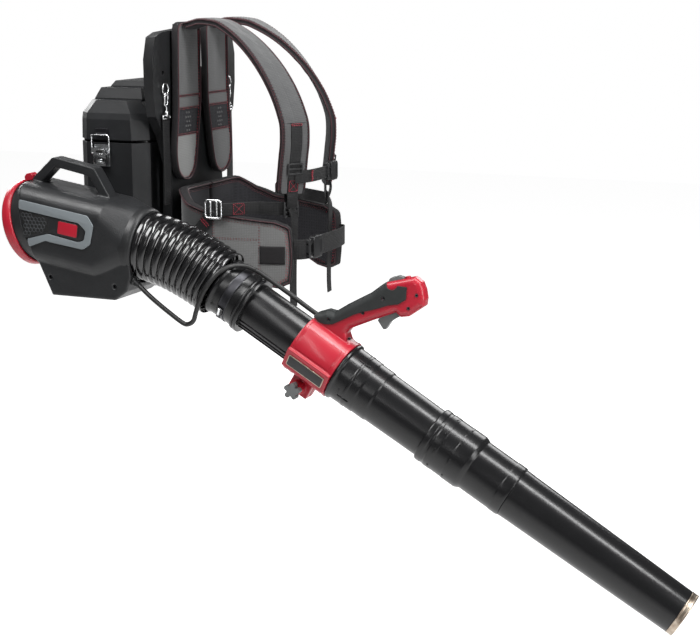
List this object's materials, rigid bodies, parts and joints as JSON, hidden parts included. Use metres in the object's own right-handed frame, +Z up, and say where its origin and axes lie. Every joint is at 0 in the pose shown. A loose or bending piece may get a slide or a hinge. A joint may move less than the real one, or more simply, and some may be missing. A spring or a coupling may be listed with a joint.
{
  "type": "backpack leaf blower",
  "caption": "Battery backpack leaf blower: axial fan housing beside a padded harness and battery box, with bellows, jointed blower tube, sliding control handle and twist-lock nozzle.",
  "frame": {"origin": "centre of the backpack base's resting face, on the wearer's centre plane", "axes": "+Z up, -Y the way the wearer faces, -X the wearer's right, where the air path runs"},
  "size_m": [0.4905, 1.3409, 1.0263],
  "materials": {
    "black_shell": "moulded, fine texture",
    "charcoal_shell": "moulded, leathered texture",
    "tube_plastic": "satin",
    "bellows_plastic": "satin",
    "red_plastic": "satin",
    "grey_plastic": "satin",
    "trim_plastic": "satin",
    "white_plastic": "satin",
    "grip_rubber": "matte",
    "soft_rubber": "matte",
    "grey_fabric": "woven",
    "black_fabric": "mesh and webbing",
    "steel": "brushed",
    "bright_steel": "polished",
    "nozzle_metal": "worn",
    "board": "coated board"
  },
  "bodies": {
    "pack": {"back_frame": "black_shell", "base_tray": "black_shell", "battery_box": "charcoal_shell", "terminal_block": "black_shell", "lid_hinge_pin": "steel", "latch_bracket": "steel", "housing_right": "charcoal_shell", "housing_left": "charcoal_shell", "shell_screws": "steel", "controller_board": "board", "stator": "black_shell", "shaft_bearings": "steel", "trim_panel": "trim_plastic", "housing_badge": "red_plastic", "bellows_rear": "bellows_plastic", "cable_rear": "soft_rubber", "shoulder_strap_right": "grey_fabric", "shoulder_strap_left": "grey_fabric", "back_pads": "grey_fabric", "hip_belt_right": "grey_fabric", "hip_belt_left": "grey_fabric", "webbing": "black_fabric", "chest_strap": "black_fabric", "plastic_buckles": "black_shell", "belt_buckles": "bright_steel", "snap_hooks": "bright_steel"},
    "lid": {"box_lid": "black_shell", "lid_keeper": "steel", "lid_gasket": "soft_rubber"},
    "latch_lever": {"latch_lever": "steel"},
    "latch_bail": {"latch_bail": "bright_steel"},
    "battery_right": {"battery_right": "black_shell"},
    "battery_left": {"battery_left": "black_shell"},
    "fan": {"impeller": "white_plastic", "rotor_shaft": "steel"},
    "intake_guard": {"intake_cage": "black_shell", "intake_rim": "red_plastic"},
    "guard_tab": {"guard_tab": "red_plastic"},
    "swivel": {"swivel_ring": "bellows_plastic"},
    "tube": {"bellows_front": "bellows_plastic", "cuff": "tube_plastic", "cuff_clamp": "tube_plastic", "control_tube": "tube_plastic", "cable_middle": "soft_rubber"},
    "handle": {"handle_shell_right": "red_plastic", "handle_shell_left": "red_plastic", "grip_cover": "grip_rubber", "handle_badge": "tube_plastic", "handle_screws": "steel", "clamp_nut": "steel", "cable_front": "soft_rubber", "trigger_spring": "steel"},
    "trigger": {"trigger": "grey_plastic"},
    "cruise_lever": {"cruise_lever": "grey_plastic"},
    "boost_button": {"boost_button": "red_plastic"},
    "star_knob": {"star_knob": "grey_plastic"},
    "front_tube": {"front_tube": "tube_plastic"},
    "nozzle": {"extension_tube": "tube_plastic", "nozzle": "tube_plastic", "nozzle_ring": "nozzle_metal"}
  },
  "joints": [
    {"name": "lid_hinge", "type": "hinge", "parent": "pack", "child": "lid", "pos_m": [0.1665, 0.096, 0.281], "axis": [0, 1, 0], "range_deg": [0, 95]},
    {"name": "latch_lever_hinge", "type": "hinge", "parent": "pack", "child": "latch_lever", "pos_m": [-0.1675, 0.111, 0.264], "axis": [0, 1, 0], "range_deg": [0, 118]},
    {"name": "latch_bail_hinge", "type": "hinge", "parent": "latch_lever", "child": "latch_bail", "pos_m": [-0.1675, 0.111, 0.256], "axis": [0, 1, 0], "range_deg": [-160, 0]},
    {"name": "battery_right_lift", "type": "slide", "parent": "pack", "child": "battery_right", "axis": [0, 0, 1], "range_m": [0, 0.04]},
    {"name": "battery_left_lift", "type": "slide", "parent": "pack", "child": "battery_left", "axis": [0, 0, 1], "range_m": [0, 0.04]},
    {"name": "impeller_spin", "type": "hinge", "parent": "pack", "child": "fan", "pos_m": [-0.235, 0.13896, 0.12297], "axis": [0, -0.9877, -0.1564], "continuous": true},
    {"name": "intake_guard_slide", "type": "slide", "parent": "pack", "child": "intake_guard", "axis": [0, 0.9744, -0.225], "range_m": [0, 0.03]},
    {"name": "guard_tab_press", "type": "slide", "parent": "intake_guard", "child": "guard_tab", "axis": [0, 0, 1], "range_m": [0, 0.003]},
    {"name": "tube_swing", "type": "hinge", "parent": "pack", "child": "swivel", "pos_m": [-0.235, -0.06417, 0.08488], "axis": [0, 0, 1], "range_deg": [-30, 10], "deforming": ["bellows_rear", "cable_rear"]},
    {"name": "tube_tilt", "type": "hinge", "parent": "swivel", "child": "tube", "pos_m": [-0.235, -0.1452, 0.05287], "axis": [-1, 0, 0], "range_deg": [-25, 35], "deforming": ["bellows_front", "cable_middle"]},
    {"name": "handle_slide", "type": "slide", "parent": "tube", "child": "handle", "axis": [0, -0.8643, -0.503], "range_m": [-0.07, 0], "deforming": ["cable_front"]},
    {"name": "star_knob_turn", "type": "hinge", "parent": "handle", "child": "star_knob", "pos_m": [-0.235, -0.34805, -0.14169], "axis": [1, 0, 0], "continuous": true},
    {"name": "trigger_pull", "type": "hinge", "parent": "handle", "child": "trigger", "pos_m": [-0.235, -0.53829, 0.01023], "axis": [1, 0, 0], "range_deg": [0, 10], "stiffness_Nm_per_rad": 0.6, "springref_deg": -4.98, "deforming": ["trigger_spring"]},
    {"name": "cruise_lever_turn", "type": "hinge", "parent": "handle", "child": "cruise_lever", "pos_m": [-0.235, -0.5273, 0.06291], "axis": [-1, 0, 0], "range_deg": [0, 20]},
    {"name": "boost_press", "type": "slide", "parent": "handle", "child": "boost_button", "axis": [0, -0.1994, -0.9799], "range_m": [0, 0.0025], "stiffness_N_per_m": 300, "springref_m": -0.003},
    {"name": "front_tube_twist", "type": "hinge", "parent": "tube", "child": "front_tube", "pos_m": [-0.235, -0.44808, -0.11892], "axis": [0, -0.8643, -0.503], "range_deg": [0, 20]},
    {"name": "nozzle_twist", "type": "hinge", "parent": "front_tube", "child": "nozzle", "pos_m": [-0.235, -0.61662, -0.21701], "axis": [0, -0.8643, -0.503], "range_deg": [0, 20]}
  ],
  "couplings": [
    {"joint": "latch_bail_hinge", "follows": "latch_lever_hinge", "ratio": -1.25}
  ]
}
